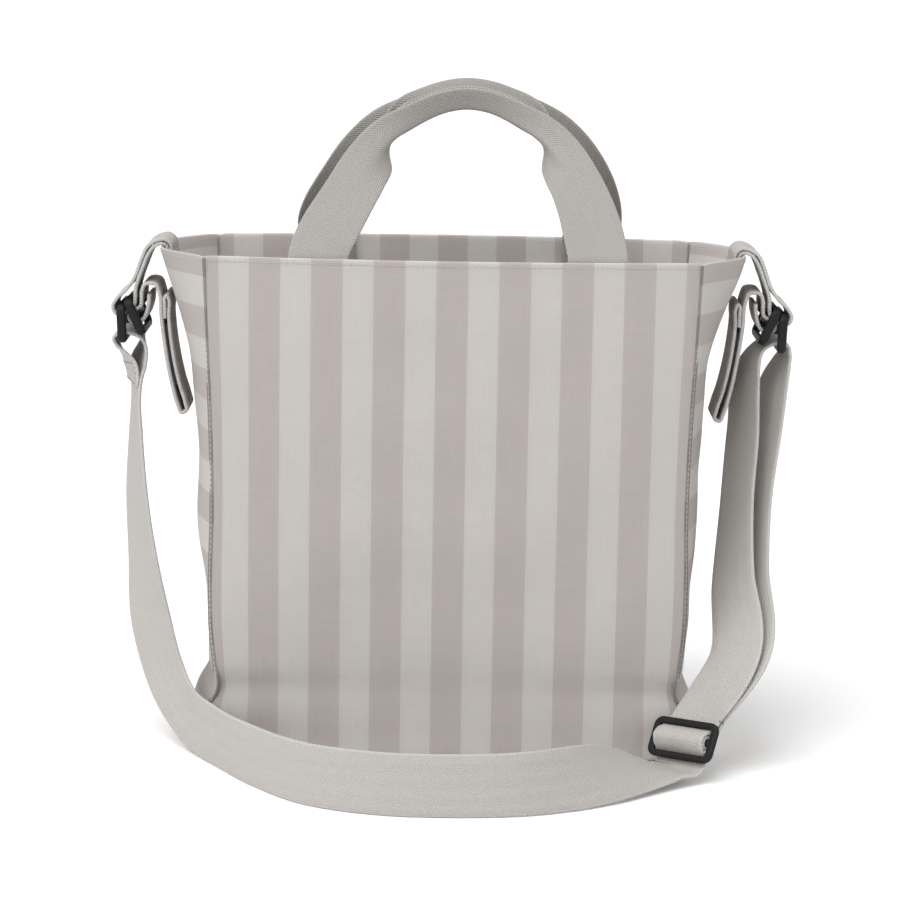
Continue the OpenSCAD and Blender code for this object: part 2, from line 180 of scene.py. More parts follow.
class Band:
    """A length of webbing: its places, directions and the distance along it.

    A station is its middle (3), the direction across it (3), its width, its thickness and the
    share by which it is folded lengthwise, which can be left out.
    """

    SHORT = 14.0  # stations nearer than this are on a tight bend, and get fine steps

    def __init__(self, stations, fine=0.9, coarse=3.5):
        stations = np.array([list(s) + [0.0] * (9 - len(s)) for s in stations], float)
        chord = np.linalg.norm(np.diff(stations[:, :3], axis=0), axis=1)
        knots = np.concatenate([[0], np.cumsum(chord)])
        at = []
        for k, length in enumerate(chord):
            step = fine if length < self.SHORT else coarse
            count = max(2, int(math.ceil(length / step)))
            at.append(knots[k] + length * np.arange(count) / count)
        row = hermite(knots, stations, np.concatenate(at + [[knots[-1]]]))
        self.place = row[:, :3]
        self.heading = unit(np.gradient(self.place, axis=0))
        across = row[:, 3:6]
        self.side = unit(across - self.heading * np.sum(across * self.heading, axis=1)[:, None])
        self.up = np.cross(self.heading, self.side)
        self.width, self.thick, self.fold = row[:, 6], row[:, 7], np.clip(row[:, 8], 0, 1)
        steps = np.linalg.norm(np.diff(self.place, axis=0), axis=1)
        self.run = np.concatenate([[0], np.cumsum(steps)])

    def at(self, run, across, out):
        """The place and the directions at a distance along, across and out of the band."""
        mix = lambda a: np.array([np.interp(run, self.run, a[:, c]) for c in range(3)])
        side, up = unit(mix(self.side)), unit(mix(self.up))
        return mix(self.place) + side * across + up * out, unit(mix(self.heading)), side, up

    def section(self, columns):
        """The middle of the webbing's thickness across it: sideways, outwards and its angle."""
        share = np.linspace(-1, 1, columns)
        width = self.width[:, None] - self.thick[:, None]
        across = share * width / 2
        bend = ramp((across + FOLD_HALF) / (2 * FOLD_HALF)) * math.pi * self.fold[:, None]
        step = np.diff(across, axis=1)
        middle = (bend[:, 1:] + bend[:, :-1]) / 2
        zero = np.zeros((len(across), 1))
        side = np.concatenate([zero, np.cumsum(step * np.cos(middle), axis=1)], 1)
        out = np.concatenate([zero, np.cumsum(step * np.sin(middle), axis=1)], 1)
        start = -width / 2 + self.fold[:, None] * width / 4
        return side + start, out, bend, across

    def stitches(self, runs, acrosses, out, lengthwise, facing=1):
        """Marks at every run and across. They lie along the band or across it."""
        marks = []
        for run in runs:
            for across in acrosses:
                place, ahead, sideways, up = self.at(run, across, out)
                marks.append((place, ahead if lengthwise else sideways, up * facing))
        return marks

    def face_stitches(self, runs, acrosses, facing, lengthwise):
        """Marks on the band's upper face (facing 1) or its lower face (facing -1)."""
        return self.stitches(runs, acrosses, facing * (WEB_T / 2 + LIFT), lengthwise, facing)

    def mesh(self, name, material, columns=9):
        """The webbing as a closed piece with rounded edges. columns is the points across it."""
        side, out, angle, across = self.section(columns)
        half = self.thick[:, None] / 2
        nside, nout = -np.sin(angle), np.cos(angle)
        rows_side, rows_out, flat = [side + nside * half], [out + nout * half], [across]
        for turn in (45, 90, 135):
            c, s = math.cos(math.radians(turn)), math.sin(math.radians(turn))
            last = angle[:, -1:]
            rows_side.append(side[:, -1:] + half * (s * np.cos(last) - c * np.sin(last)))
            rows_out.append(out[:, -1:] + half * (s * np.sin(last) + c * np.cos(last)))
            flat.append(across[:, -1:] + half * s)
        rows_side.append((side - nside * half)[:, ::-1])
        rows_out.append((out - nout * half)[:, ::-1])
        flat.append(across[:, ::-1])
        for turn in (135, 90, 45):
            c, s = math.cos(math.radians(turn)), math.sin(math.radians(turn))
            first = angle[:, :1]
            rows_side.append(side[:, :1] - half * (s * np.cos(first) + c * np.sin(first)))
            rows_out.append(out[:, :1] - half * (s * np.sin(first) - c * np.cos(first)))
            flat.append(across[:, :1] - half * s)
        side, out, flat = (np.concatenate(a, 1) for a in (rows_side, rows_out, flat))
        points = (
            self.place[:, None]
            + self.side[:, None] * side[..., None]
            + self.up[:, None] * out[..., None]
        )
        n, m = side.shape
        index = np.arange(n * m).reshape(n, m)
        after = np.roll(index, -1, axis=1)
        faces = np.stack([index[:-1], index[1:], after[1:], after[:-1]], -1).reshape(-1, 4).tolist()
        faces += [index[0].tolist(), index[-1, ::-1].tolist()]
        cloth = np.stack([flat, np.broadcast_to(self.run[:, None], flat.shape)], -1)
        return piece(name, points.reshape(-1, 3), faces, cloth.reshape(-1, 2), material)


def stitch_mesh(name, marks, material, length=2.4, wide=0.32):
    """Short raised stitches. A mark is (place, direction, outwards)."""
    rings = ((-1.0, 0.25), (-0.8, 0.85), (0.0, 1.0), (0.8, 0.85), (1.0, 0.25))
    sides = 6
    points, faces = [], []
    for place, along, out in marks:
        along, out = unit(along), unit(out)
        across = unit(np.cross(along, out))
        base = len(points)
        for share, girth in rings:
            arch = wide * 0.5 * (1 - share**2)
            for k in range(sides):
                turn = 2 * math.pi * k / sides
                points.append(
                    place
                    + along * share * length / 2
                    + across * math.cos(turn) * wide * girth
                    + out * (math.sin(turn) * wide * girth + arch)
                )
        for r in range(len(rings) - 1):
            for k in range(sides):
                a, b = base + r * sides + k, base + r * sides + (k + 1) % sides
                faces.append((a, b, b + sides, a + sides))
        faces.append(tuple(base + k for k in reversed(range(sides))))
        faces.append(tuple(base + (len(rings) - 1) * sides + k for k in range(sides)))
    points = np.array(points)
    return piece(name, points, faces, points[:, :2], material)


def moulded(name, place, axes, width, height, thick, side_bar, bar, radius, bars, material, fuller=0.0):
    """A moulded plastic ring with bars across its middle.

    Its axes are along it, up it and out of its plane. Its sides are fuller than the bars that
    carry the webbing.
    """
    along, up, face = axes
    half_w, half_h = (width - side_bar) / 2, (height - bar) / 2
    arc = np.radians(np.linspace(0, 90, 7))
    line, wide, deep = [], [], []
    for k, (sx, sy) in enumerate(((1, 1), (-1, 1), (-1, -1), (1, -1))):
        cx, cy = sx * (half_w - radius), sy * (half_h - radius)
        for a in arc + k * math.pi / 2:
            line.append((cx + radius * math.cos(a), cy + radius * math.sin(a)))
            wide.append(side_bar * math.cos(a) ** 2 + bar * math.sin(a) ** 2)
            deep.append(thick + fuller * math.cos(a) ** 2)
    line, wide = np.array(line), np.array(wide)
    lead = unit(np.roll(line, -1, 0) - np.roll(line, 1, 0))
    out = np.stack([lead[:, 1], -lead[:, 0]], -1)
    count = 16
    around = 2 * math.pi * np.arange(count) / count
    ease = 0.55  # below 1 the section is squarer than an ellipse
    a = np.sign(np.cos(around)) * np.abs(np.cos(around)) ** ease
    b = np.sign(np.sin(around)) * np.abs(np.sin(around)) ** ease
    points, faces = [], []

    def add(rows, closed):
        base = len(points)
        for row in rows:
            points.extend(row)
        n = len(rows)
        for i in range(n if closed else n - 1):
            for k in range(count):
                p, q = base + i * count + k, base + i * count + (k + 1) % count
                shift = count if i < n - 1 else -(n - 1) * count
                faces.append((p, q, q + shift, p + shift))
        if not closed:
            faces.append(tuple(base + k for k in reversed(range(count))))
            faces.append(tuple(base + (n - 1) * count + k for k in range(count)))

    def at(x, y, z):
        return place + along * x + up * y + face * z

    def rim_row(p, o, w, d):
        return [at(p[0] + o[0] * w / 2 * ca, p[1] + o[1] * w / 2 * ca, d / 2 * cb) for ca, cb in zip(a, b)]

    def bar_row(x, y):
        return [at(x, y + bar / 2 * ca, thick / 2 * inner * cb) for ca, cb in zip(a, b)]

    inner = 0.94  # a middle bar is a little thinner than the frame
    add([rim_row(*row) for row in zip(line, out, wide, deep)], True)
    for y in bars:
        add([bar_row(x, y) for x in np.linspace(-half_w, half_w, 9)], False)
    points = np.array(points)
    return piece(name, points, faces, points[:, :2], material)


# ---- Materials -------------------------------------------------------------


class Nodes:
    """A material's node tree, with short ways to add to it."""

    def __init__(self, name):
        self.material = bpy.data.materials.new(name)
        self.material.use_nodes = True
        self.tree = self.material.node_tree
        self.shader = self.tree.nodes["Principled BSDF"]

    def put(self, socket, value):
        """Links a node's output to a socket, or sets the socket to a plain value."""
        if isinstance(value, bpy.types.NodeSocket):
            self.tree.links.new(value, socket)
        else:
            socket.default_value = value

    def math(self, operation, a, b=0.0, clamp=False):
        node = self.tree.nodes.new("ShaderNodeMath")
        node.operation = operation
        node.use_clamp = clamp
        self.put(node.inputs[0], a)
        self.put(node.inputs[1], b)
        return node.outputs[0]

    def mix(self, share, a, b):
        node = self.tree.nodes.new("ShaderNodeMix")
        node.data_type = "RGBA"
        self.put(node.inputs[0], share)
        self.put(node.inputs[6], a)
        self.put(node.inputs[7], b)
        return node.outputs[2]

    def shade(self, colour, value):
        """A colour made lighter or darker by a factor."""
        node = self.tree.nodes.new("ShaderNodeVectorMath")
        node.operation = "SCALE"
        self.put(node.inputs[0], colour if isinstance(colour, bpy.types.NodeSocket) else colour[:3])
        self.put(node.inputs["Scale"], value)
        return node.outputs[0]

    def cloth(self):
        """The place on the flat cloth, across and along, in metres."""
        node = self.tree.nodes.new("ShaderNodeUVMap")
        node.uv_map = "Cloth"
        parts = self.tree.nodes.new("ShaderNodeSeparateXYZ")
        self.tree.links.new(node.outputs[0], parts.inputs[0])
        return parts.outputs[0], parts.outputs[1]

    def noise(self, u, v, scale_u, scale_v, detail=2.0):
        """Noise from 0 to 1, with its own scale each way."""
        join = self.tree.nodes.new("ShaderNodeCombineXYZ")
        self.put(join.inputs[0], self.math("MULTIPLY", u, scale_u))
        self.put(join.inputs[1], self.math("MULTIPLY", v, scale_v))
        node = self.tree.nodes.new("ShaderNodeTexNoise")
        node.inputs["Scale"].default_value = 1.0
        node.inputs["Detail"].default_value = detail
        self.tree.links.new(join.outputs[0], node.inputs["Vector"])
        return node.outputs[0]

    def wave(self, value, pitch):
        """A sine from -1 to 1 that repeats every pitch mm."""
        return self.math("SINE", self.math("MULTIPLY", value, 2 * math.pi / (pitch * MM)))

    def spread(self, value, low, high):
        """A value from 0 to 1 spread over low to high."""
        return self.math("ADD", self.math("MULTIPLY", value, high - low), low)

    def bump(self, height, distance):
        node = self.tree.nodes.new("ShaderNodeBump")
        node.inputs["Strength"].default_value = 1.0
        node.inputs["Distance"].default_value = distance
        self.tree.links.new(height, node.inputs["Height"])
        self.tree.links.new(node.outputs[0], self.shader.inputs["Normal"])

    def glow_through(self, colour, share):
        """Lets a share of the light behind a thin cloth through it."""
        thin = self.tree.nodes.new("ShaderNodeBsdfTranslucent")
        self.put(thin.inputs["Color"], colour)
        both = self.tree.nodes.new("ShaderNodeMixShader")
        both.inputs[0].default_value = share
        self.tree.links.new(self.shader.outputs[0], both.inputs[1])
        self.tree.links.new(thin.outputs[0], both.inputs[2])
        self.tree.links.new(both.outputs[0], self.tree.nodes["Material Output"].inputs[0])

    def finish(self, colour, roughness, sheen=0.0, specular=0.3):
        self.put(self.shader.inputs["Base Color"], colour)
        self.put(self.shader.inputs["Roughness"], roughness)
        self.shader.inputs["Sheen Weight"].default_value = sheen
        self.shader.inputs["Sheen Roughness"].default_value = 0.6
        self.shader.inputs["Specular IOR Level"].default_value = specular
        return self.material


LIGHT = (0.506, 0.483, 0.461, 1)
TAUPE = (0.416, 0.376, 0.361, 1)
WEB = (0.500, 0.476, 0.450, 1)
SELVEDGE = (0.535, 0.525, 0.510, 1)
PALE_THREAD = (0.40, 0.38, 0.36, 1)
# Dark thread, made darker than its own colour to add painted shade along the side seams; the straps'
# stitching uses it too
GREY_THREAD_AND_SEAM_SHADE = (0.13, 0.12, 0.115, 1)
PLASTIC = (0.009, 0.009, 0.010, 1)
PILE = (0.026, 0.026, 0.028, 1)
PAPER = (0.985, 0.985, 0.985, 1)
HERRINGBONE = 5.0  # half of the width of a chevron in the webbing
SELVEDGE_AT = 18.6  # where the plain edge of the webbing starts, from its middle
HEM_PALER, SEAM_PAINTED_SHADE = 0.4, -0.5  # added to the factor on the canvas's colour: painted light on the hem, painted shade along the seams
SEAM_PAINTED_SHADE_WIDTH = 1.1  # width of the painted shade along a seam


def canvas(name, axis, offset, seam):
    """Canvas with woven stripes, across u (axis 0) or v (axis 1) of the cloth, sewn at u = seam."""
    k = Nodes(name)
    uv = k.cloth()
    u, v = uv
    repeat = 2 * STRIPE
    stripe = k.math("FRACT", k.math("DIVIDE", k.math("SUBTRACT", uv[axis], offset * MM), repeat * MM))
    # The stripe's edges are one thread wide
    edge = 0.3 / repeat
    first = k.math("DIVIDE", k.math("SUBTRACT", stripe, 0.5 - edge), 2 * edge, clamp=True)
    last = k.math("DIVIDE", k.math("SUBTRACT", stripe, 1 - 2 * edge), 2 * edge, clamp=True)
    colour = k.mix(k.math("SUBTRACT", first, last), TAUPE, LIGHT)
    warp, weft = k.noise(u, v, 1500, 22), k.noise(u, v, 22, 1500)
    slub = k.math("ADD", k.spread(warp, -0.06, 0.06), k.spread(weft, -0.06, 0.06))
    cloudy = k.spread(k.noise(u, v, 14, 11, 3.0), 0.965, 1.035)
    # The hem is made paler than the same cloth outside. It stands in for light inside the bag
    turned = k.math("GREATER_THAN", v, HEIGHT * MM)
    tone = k.math("ADD", k.math("ADD", cloudy, slub), k.math("MULTIPLY", turned, HEM_PALER))
    # Along each side seam the cloth is darkened: painted shade, standing in for the shade in the seam's
    # groove
    seam_painted_shade = k.math("GREATER_THAN", k.math("ABSOLUTE", u), (seam - SEAM_PAINTED_SHADE_WIDTH) * MM)
    tone = k.math("ADD", tone, k.math("MULTIPLY", seam_painted_shade, SEAM_PAINTED_SHADE))
    colour = k.shade(colour, tone)
    weave = k.math("MULTIPLY", k.wave(u, 1.3), k.wave(v, 1.3))
    height = k.math("ADD", k.math("MULTIPLY", weave, 0.5), k.math("ADD", warp, weft))
    k.bump(height, 0.00022)
    k.glow_through(colour, 0.12)
    return k.finish(colour, k.spread(warp, 0.82, 0.95), sheen=0.12, specular=0.18)


def webbing(name, share=1.0):
    """Herringbone webbing with a plain selvedge at each edge. share darkens the whole weave."""
    k = Nodes(name)
    u, v = k.cloth()
    chevron = k.math("PINGPONG", k.math("ADD", u, 0.1), HERRINGBONE * MM)
    twill = k.wave(k.math("ADD", v, chevron), 2.0)
    cross = k.wave(u, 1.25)
    fleck = k.noise(u, v, 1300, 800)
    flecks = k.spread(fleck, 0.86 * share, 1.14 * share)
    tone = k.math("ADD", k.math("MULTIPLY", twill, 0.045 * share), flecks)
    edge = k.math("GREATER_THAN", k.math("ABSOLUTE", u), SELVEDGE_AT * MM)
    colour = k.shade(k.mix(edge, WEB, SELVEDGE), tone)
    height = k.math("ADD", k.math("MULTIPLY", twill, 0.6), k.math("MULTIPLY", cross, 0.25))
    k.bump(k.math("ADD", height, fleck), 0.00028)
    return k.finish(colour, k.spread(fleck, 0.7, 0.9), sheen=0.1, specular=0.25)


def thread(name, colour):
    """Twisted sewing thread."""
    k = Nodes(name)
    u, v = k.cloth()
    twist = k.noise(u, v, 2500, 2500)
    k.bump(twist, 0.0001)
    return k.finish(k.shade(colour, k.spread(twist, 0.85, 1.15)), 0.6, sheen=0.1)


def plastic(name):
    """Moulded black plastic with a fine grain, shinier where it is worn."""
    k = Nodes(name)
    u, v = k.cloth()
    grain, wear = k.noise(u, v, 2200, 2200, 3.0), k.noise(u, v, 60, 60, 4.0)
    k.bump(grain, 0.00006)
    colour = k.shade(PLASTIC, k.spread(wear, 0.8, 1.25))
    return k.finish(colour, k.spread(wear, 0.42, 0.58), specular=0.2)


def fastener(name, scale, depth):
    """Hook or loop tape: a black pile of that scale and depth."""
    k = Nodes(name)
    u, v = k.cloth()
    pile = k.noise(u, v, scale, scale, 3.0)
    k.bump(pile, depth)
    return k.finish(k.shade(PILE, k.spread(pile, 0.5, 1.7)), 0.85, sheen=0.3, specular=0.1)


upright = canvas("canvas_upright_stripes", 0, -10, HALF_W)
level = canvas("canvas_level_stripes", 1, HEIGHT - 12, HALF_D)
tape = webbing("cotton_webbing", 0.86)
# The handles' webbing is a darker copy of the same webbing: painted shade, not a different tape
handle_tape_painted_shade = webbing("handle_webbing", 0.65)
pale_thread = thread("pale_thread", PALE_THREAD)
grey_thread_and_seam_shade = thread("grey_thread_and_seam_shade", GREY_THREAD_AND_SEAM_SHADE)
black = plastic("black_plastic")
hooks, loops = fastener("hook_pile", 1400, 0.0005), fastener("loop_pile", 2600, 0.0008)

# ---- The bag's walls -------------------------------------------------------

# How far the side seams are from the middle of the panel, by height
seam_x = profile(
    [(0, 159), (12, 160.5), (22, 160.3), (34, 156.5), (46, 151.8), (60, 153), (84, 155.6), (115, 156.2),
     (165, 155.2), (240, 157), (290, 159.6), (HEIGHT, HALF_W)]
)
# How far the middle of each gusset stands out from its seams, by height
bulge = {
    -1: profile([(0, 6), (12, 9), (24, 10), (38, 10), (50, 7.6), (66, 6), (84, 4), (100, 5), (133, 11),
                 (195, 13), (241, 14), (290, 20.5), (312, 26), (HEIGHT, 31)]),
    1: profile([(0, 5), (14, 7), (40, 6.4), (63, 5.6), (103, 7), (133, 8.6), (170, 10), (230, 11),
                (270, 14.5), (300, 22), (318, 28), (HEIGHT, 31)]),
}


def seam_y(z):
    """How far the side seams are in front of the bag's middle, at a height."""
    return HALF_D - z / HEIGHT


def waves(count, low, high, tall):
    """Slight uneven waves in a cloth, as a function of two distances in mm."""
    turn = rng.uniform(0, 2 * math.pi, count)
    pitch = rng.uniform(low, high, count)
    phase = rng.uniform(0, 2 * math.pi, count)
    size = rng.uniform(0.5, 1, count) * tall / math.sqrt(count)

    def at(u, v):
        total = 0
        for t, p, f, s in zip(turn, pitch, phase, size):
            total = total + s * np.sin(2 * math.pi * (u * math.cos(t) + v * math.sin(t)) / p + f)
        return total

    return at


def path_up(v):
    """Height and turning-in at a distance v up the wall, from the base to the rim."""
    angle = np.clip(v / FOOT_RUN, 0, 1) * math.pi / 2
    low = v < FOOT_RUN
    straight = FOOT + (v - FOOT_RUN) * (HEIGHT - FOOT) / (HEIGHT - FOOT_RUN)
    z = np.where(low, FOOT * (1 - np.cos(angle)), straight)
    return z, np.where(low, FOOT * (1 - np.sin(angle)), 0.0)


def hem_path():
    """Distances up the wall and insets from its outside, for the wall and its turned-in hem."""
    wall = np.concatenate([np.linspace(0, FOOT_RUN, 7), np.linspace(FOOT_RUN, HEIGHT - 2, 84)[1:]])
    gap = (CANVAS + GAP) / 2
    turn = np.radians(np.linspace(0, 180, 8))
    over = HEIGHT - 2 + gap * np.sin(turn) + 2 - gap
    v = np.concatenate([wall, over, np.linspace(HEIGHT - 3, HEIGHT - HEM, 7)])
    inset = np.concatenate([np.zeros(len(wall)), gap * (1 - np.cos(turn)), np.full(7, 2 * gap)])
    run = np.concatenate([wall, HEIGHT - gap + gap * turn, HEIGHT + np.linspace(3, HEM, 7)])
    return v, inset + CANVAS / 2, run


def front_place(u, v, inset, lumps):
    """A place on the front wall, for a place u, v on the flat cloth and an inset from outside."""
    z, turned = path_up(v)
    half = seam_x(z) - turned
    near = np.abs(u)
    straight = 118.0  # up to here the cloth runs true, and nearer the seam it is eased
    t = np.clip((near - straight) / (HALF_W - straight), 0, 1)
    first = (HALF_W - straight) / (half - straight)
    eased = straight + (half - straight) * (first * t + (1 - first) * t * t)
    x = np.sign(u) * np.where(near < straight, near, eased)
    share = np.clip(np.abs(x) / half, 0, 1)
    power = 2.1 + 1.1 * ramp((HEIGHT - z) / 90)
    crown = CROWN * (0.25 + 0.75 * np.sin(np.radians(90 * z / HEIGHT)))
    out = crown * (1 - share**power)
    # A soft crease above the base, deepest towards the corners
    corner = (near / HALF_W) ** 2
    out = out - (0.8 + 2.6 * corner) * np.exp(-(((z - 49 + 3 * corner) / 8.5) ** 2))
    out = out + (0.5 + 1.8 * corner) * np.exp(-(((z - 25) / 12) ** 2))
    # Waves fade towards the seams, the foot and the rim
    loose = np.clip((HALF_W - near) / 25, 0, 1) * np.clip(z / 30, 0, 1)
    loose = loose * np.clip((HEIGHT - z) / 40, 0.15, 1)
    out = out + lumps(u, z) * loose
    # The cloth dips into the seam
    out = out - SEAM_DIP * np.exp(-(HALF_W - near) / SEAM_DIP_REACH)
    z = z - RIM_DIP * np.exp(-(HALF_W - near) / RIM_DIP_REACH) * np.clip(z / HEIGHT, 0, 1) ** 8
    return np.stack([x, -seam_y(z) + turned - out + inset, z + CANVAS * 0.5 * (v < 1)], -1)


def gusset_place(w, v, inset, lumps, side):
    """A place on a gusset, for a place w, v on the flat cloth and an inset from outside."""
    z, turned = path_up(v)
    half = seam_y(z) - turned
    y = w / HALF_D * half
    near = np.abs(w)
    # Towards the rim the side tab, 42 mm wide, holds the middle out flat
    pulled = ramp((z - 255) / 70)
    flat = 21 * pulled
    share = 1 - np.clip((np.abs(y) - flat) / (half - flat), 0, 1) ** (1.9 - 0.4 * pulled)
    out = bulge[side](z) * share
    lump = lumps(w, z) * np.clip((HALF_D - near) / 20, 0, 1)
    out = out + lump * np.clip((HEIGHT - z) / 60, 0, 1) * np.clip(z / 30, 0, 1)
    out = out - SEAM_DIP * np.exp(-(HALF_D - near) / SEAM_DIP_REACH)
    z = z - RIM_DIP * np.exp(-(HALF_D - near) / RIM_DIP_REACH) * np.clip(z / HEIGHT, 0, 1) ** 8
    x = seam_x(z) - turned + out - inset
    return np.stack([side * x, y, z + CANVAS * 0.5 * (v < 1)], -1)


def mirrored(points):
    """Points of the front wall, moved to the back wall."""
    return points * np.array([1, -1, 1])


def stitches_on(place, us, vs, lift):
    """Marks for a line of stitches on a wall, each lying across the cloth."""
    marks = []
    for u, v in zip(us, vs):
        p = place(u, v)
        du = place(u + 0.5, v) - place(u - 0.5, v)
        dv = place(u, v + 0.5) - place(u, v - 0.5)
        out = unit(np.cross(du, dv))
        flat = p * np.array([1, 1, 0])
        if np.dot(out, flat) < 0:
            out = -out
        marks.append((p + out * lift, du, out))
    return marks


rows_v, rows_inset, rows_run = hem_path()


def tight_ends(half, count):
    """Distances across a wall, closer together towards its seams."""
    inner = np.linspace(-half + 8, half - 8, count)
    ends = np.array([0, 0.8, 1.7, 2.8, 4.2, 6])
    return np.concatenate([-half + ends, inner, half - ends[::-1]])


for where, flip in (("front", 1), ("back", -1)):
    lumps = waves(9, 45, 150, 0.9)
    us = tight_ends(HALF_W, 84)
    U, V = np.meshgrid(us, rows_v, indexing="ij")
    inset = np.broadcast_to(rows_inset, U.shape)
    grid = front_place(U, V, inset, lumps)
    cloth = np.stack([U, np.broadcast_to(rows_run, U.shape)], -1)
    if flip < 0:
        grid = mirrored(grid)
    wall = sheet_mesh(where + "_canvas", grid, cloth, CANVAS, upright, np.array([0, -flip, 0]))
    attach(wall, "bag")
    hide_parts(where + "_panel", where + "_hem")

    def at(u, v, lumps=lumps, flip=flip):
        p = front_place(np.float64(u), np.float64(v), 0.0, lumps)
        return mirrored(p) if flip < 0 else p

    count = int((2 * HALF_W - 10) / PITCH)
    line = np.linspace(-HALF_W + 5, HALF_W - 5, count)
    marks = stitches_on(at, line, np.full(count, STITCH_Z), LIFT)
    rim = stitch_mesh(where + "_rim_stitching", marks, pale_thread)
    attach(rim, "bag")
    for side, word in ((-1, "left"), (1, "right")):
        count = int((HEIGHT - 30) / PITCH)
        line = np.linspace(12, HEIGHT - 8, count)
        marks = stitches_on(at, np.full(count, side * (HALF_W - 1.3)), line, 2 * LIFT)
        # The seam stitching is near black: partly the thread's own colour, partly painted shade in the
        # seam's groove
        seam = stitch_mesh(f"{where}_{word}_seam_stitching", marks, grey_thread_and_seam_shade, 2.0, 0.3)
        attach(seam, "bag")

gusset_at = {}
for side, word in ((-1, "left"), (1, "right")):
    lumps = waves(8, 40, 120, 1.2)
    ws = tight_ends(HALF_D, 36)
    W, V = np.meshgrid(ws, rows_v, indexing="ij")
    grid = gusset_place(W, V, np.broadcast_to(rows_inset, W.shape), lumps, side)
    cloth = np.stack([W, np.broadcast_to(rows_run, W.shape)], -1)
    wall = sheet_mesh(word + "_gusset_canvas", grid, cloth, CANVAS, level, np.array([side, 0, 0]))
    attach(wall, "bag")
    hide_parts(word + "_gusset", word + "_hem")

    def at(w, v, lumps=lumps, side=side):
        return gusset_place(np.float64(w), np.float64(v), 0.0, lumps, side)

    gusset_at[side] = at
    count = int((2 * HALF_D - 10) / PITCH)
    line = np.linspace(-HALF_D + 5, HALF_D - 5, count)
    marks = stitches_on(at, line, np.full(count, STITCH_Z), LIFT)
    rim = stitch_mesh(word + "_rim_stitching", marks, pale_thread)
    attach(rim, "bag")

# The base lies on the floor between the walls' turned-in feet
base_x, base_y = np.meshgrid(np.linspace(-1, 1, 60), np.linspace(-1, 1, 30), indexing="ij")
half_x, half_y = seam_x(0) - FOOT + 2.2, HALF_D + 0.25 * CROWN - FOOT + 1.6
square = np.stack([base_x * half_x, base_y * half_y * (1 - 0.035 * base_x**2), 0 * base_x], -1)
edge_rise = 0.5 * np.maximum(np.abs(base_x), np.abs(base_y)) ** 10
wavy = 0.25 * (1 + np.sin(square[..., 0] / 21) * np.sin(square[..., 1] / 17 + 1))
square[..., 2] = 0.9 + edge_rise + wavy
cloth = square[..., :2] + np.array([0, 4])
base = sheet_mesh("base_canvas", square, cloth, CANVAS, upright, np.array([0, 0, 1]))
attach(base, "bag")
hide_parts("base_panel")

# ---- Seam bindings ---------------------------------------------------------

BINDING_W, BINDING_T = 9, 1.9

for face_y, where in ((-1, "front"), (1, "back")):
    for side, word in ((-1, "left"), (1, "right")):
        stations = []
        for z in np.linspace(8, HEIGHT - HEM - 4, 16):
            inset = 7.2 + 0.5 * math.sin(z / 37 + side + face_y)
            place = [side * (float(seam_x(z)) - inset), face_y * (seam_y(z) - inset), z]
            stations.append([*place, side, -face_y, 0, BINDING_W, BINDING_T])
        binding = Band(stations, coarse=6).mesh(f"binding_{where}_{word}", tape, 5)
        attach(binding, "bag")
        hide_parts(f"seam_binding_{where}_{word}")

# ---- Handles ---------------------------------------------------------------

# A handle from its left end to its right end: place across the bag, height above the rim,
# share by which the webbing is folded lengthwise, and how far its face tips downwards in degrees
HANDLE = [
    (-86, 2, 0, -32), (-84, 9, 0, -32), (-78.5, 20, 0, -32), (-71.5, 32, 0, -31),
    (-64.5, 44, 0.01, -27), (-58.5, 55, 0.06, -18), (-52.5, 64, 0.17, -8), (-47.3, 71, 0.33, 0),
    (-41.2, 77.4, 0.52, 8), (-33.5, 83.4, 0.76, 16), (-24, 89.6, 0.95, 22), (-10, 95.8, 1, 25),
    (6, 98.8, 1, 26),
    (21, 97.4, 1, 25), (34, 93, 1, 22), (44.2, 87.6, 0.9, 16), (52.8, 81.6, 0.68, 8),
    (60, 75, 0.43, 0), (66, 68, 0.25, -8), (72.5, 59, 0.11, -18), (78, 48.5, 0.01, -27),
    (84.5, 34, 0, -31), (89, 20, 0, -32), (91.6, 9, 0, -32), (92.5, 2, 0, -32),
]

def inside_panel(x, z):
    """A place on the inside of the front panel where a handle's end is sewn."""
    return front_place(np.float64(x), np.float64(z), HANDLE_INSET, lambda u, v: 0)


HANDLE_Y = float(inside_panel(HANDLE_X, HEIGHT)[1])
TOP_Y = -11.0  # at its top a handle leans this near to the middle of the bag
HANDLE_W = 38.5  # the webbing draws in a little under the pull of the hand
HANDLE_CUP = 5.5  # and more towards the grip, where it starts to cup
BACK_TALLER, BACK_WIDER = 1.04, 1.09  # the back handle against the front one


def handle_stations(flip, taller, wider):
    """Stations of a handle. flip is 1 for the front one and -1 for the back one."""
    tall = max(h[1] for h in HANDLE)
    arch = []
    for x, up, fold, tip in HANDLE:
        y = HANDLE_Y + (TOP_Y - HANDLE_Y) * (up / tall) ** 0.92
        x *= 1 + (wider - 1) * math.sin(math.pi * min(1, up / tall)) ** 0.7
        cup = HANDLE_CUP * min(1, max(0, (up - 20) / 40))
        arch.append([x, y * flip, HEIGHT + up * taller, 0, 0, 0, HANDLE_W - cup, WEB_T, fold])
    heading = unit(np.gradient(np.array([a[:3] for a in arch]), axis=0))
    for a, h, (x, up, fold, tip) in zip(arch, heading, HANDLE):
        turn = math.radians(tip)
        a[3:6] = flip * np.cross(h, [0, -math.cos(turn) * flip, -math.sin(turn)])
    sewn = [[], []]
    for down in (45, 34, 22, 11, 3):
        for end, x in zip(sewn, (arch[0][0], arch[-1][0])):
            p = inside_panel(x, HEIGHT - down)
            lean = arch[0] if end is sewn[0] else arch[-1]
            end.append([x, p[1] * flip, HEIGHT - down, *lean[3:6], WEB_W, WEB_T, 0])
    return sewn[0] + arch + sewn[1][::-1]


